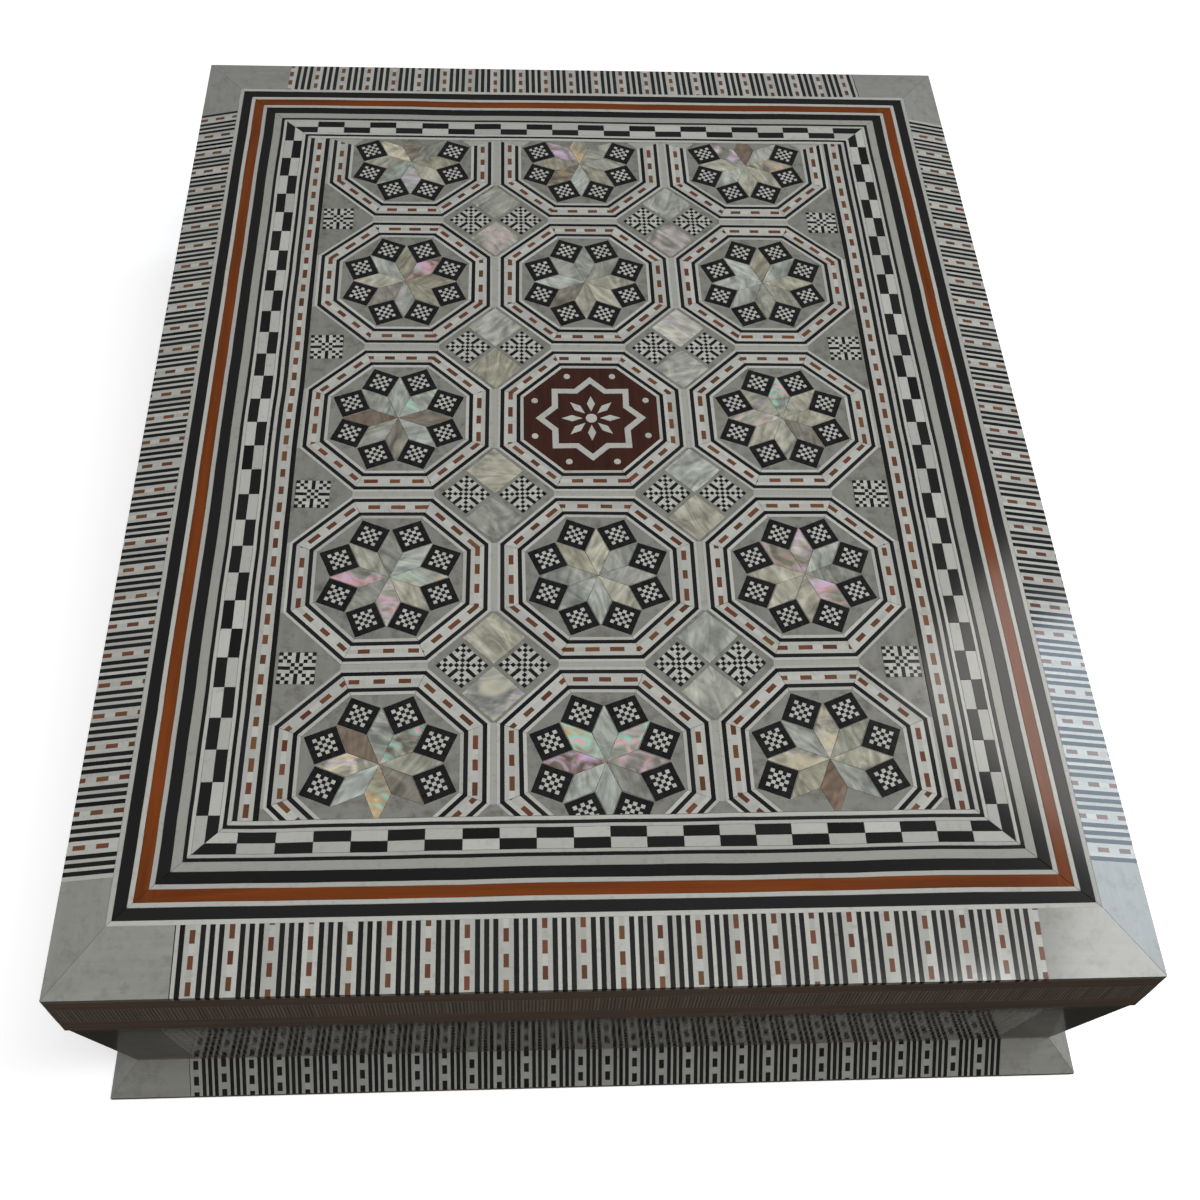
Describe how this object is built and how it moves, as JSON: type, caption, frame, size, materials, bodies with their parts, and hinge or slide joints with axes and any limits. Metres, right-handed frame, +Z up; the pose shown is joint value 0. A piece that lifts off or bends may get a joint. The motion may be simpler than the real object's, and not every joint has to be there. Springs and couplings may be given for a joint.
{
  "type": "inlaid book box",
  "caption": "Flat wooden book box with a hinged lid, a flared plinth and a marquetry skin of striped veneer, bands, octagons and mother-of-pearl stars.",
  "frame": {"origin": "middle of the footprint, on the table under the felt", "axes": "+Z up, +Y along the length from the front to the hinges, +X across the width to the right of the front"},
  "size_m": [0.218, 0.283, 0.066],
  "materials": {
    "core_wood": "plain planed wood under the skin",
    "dark_wood": "dark brown lacquered wood strips",
    "fine_lines": "lacquered band of fine dark and light lines",
    "orange_wood": "orange-brown lacquered wood band",
    "ebony": "black lacquered wood",
    "bone": "bone-white inlay, lacquered",
    "striped_veneer": "black and white striped veneer with dashes, lacquered",
    "corner_plate": "grey-white shell plate, lacquered",
    "pearl": "mother of pearl, lacquered",
    "ground": "grey shell ground, lacquered",
    "star_tile": "black tiles with white checks, lacquered",
    "mosaic": "black and white mosaic squares, lacquered",
    "medallion_brown": "dark brown lacquered wood",
    "velvet": "short-pile velvet on card",
    "felt": "wool felt",
    "brass": "polished brass"
  },
  "bodies": {
    "box": {"base_felt": "felt", "base_board": "core_wood", "plinth_front": "core_wood", "plinth_right": "core_wood", "plinth_rear": "core_wood", "plinth_left": "core_wood", "plinth_veneers": "striped_veneer", "plinth_corner_plates": "corner_plate", "front_wall": "core_wood", "right_wall": "core_wood", "rear_wall": "core_wood", "left_wall": "core_wood", "waist_strips": "dark_wood", "rim_strips": "dark_wood", "wall_veneer_front": "striped_veneer", "wall_veneer_right": "striped_veneer", "wall_veneer_rear": "striped_veneer", "wall_veneer_left": "striped_veneer", "wall_corner_plates": "corner_plate", "floor_lining": "velvet", "wall_linings": "velvet", "body_hinge_leaves": "brass", "hinge_pins": "brass", "body_hinge_screws": "brass"},
    "lid": {"lid_front_rail": "core_wood", "lid_right_rail": "core_wood", "lid_rear_rail": "core_wood", "lid_left_rail": "core_wood", "lid_panel": "core_wood", "lid_lining": "velvet", "lid_side_lower_strips": "dark_wood", "lid_side_line_bands": "fine_lines", "lid_side_upper_strips": "dark_wood", "lid_border_front": "striped_veneer", "lid_border_right": "striped_veneer", "lid_border_rear": "striped_veneer", "lid_border_left": "striped_veneer", "lid_corner_plates": "corner_plate", "white_lines": "bone", "outer_black_band": "ebony", "orange_band": "orange_wood", "inner_black_band": "ebony", "pale_band": "corner_plate", "guard_lines": "ebony", "checker_black_blocks": "ebony", "checker_white_blocks": "bone", "side_dash_strips": "bone", "field_ground": "ground", "octagon_frames": "bone", "octagon_grounds": "ground", "star_diamonds": "pearl", "star_tiles": "star_tile", "pearl_squares": "pearl", "mosaic_squares": "mosaic", "medallion_ground": "medallion_brown", "medallion_rosette": "bone", "lid_hinge_leaves": "brass", "lid_hinge_screws": "brass"}
  },
  "joints": [
    {"name": "lid_hinge", "type": "hinge", "parent": "box", "child": "lid", "pos_m": [0, 0.1355, 0.04615], "axis": [-1, 0, 0], "range_deg": [0, 100]}
  ]
}
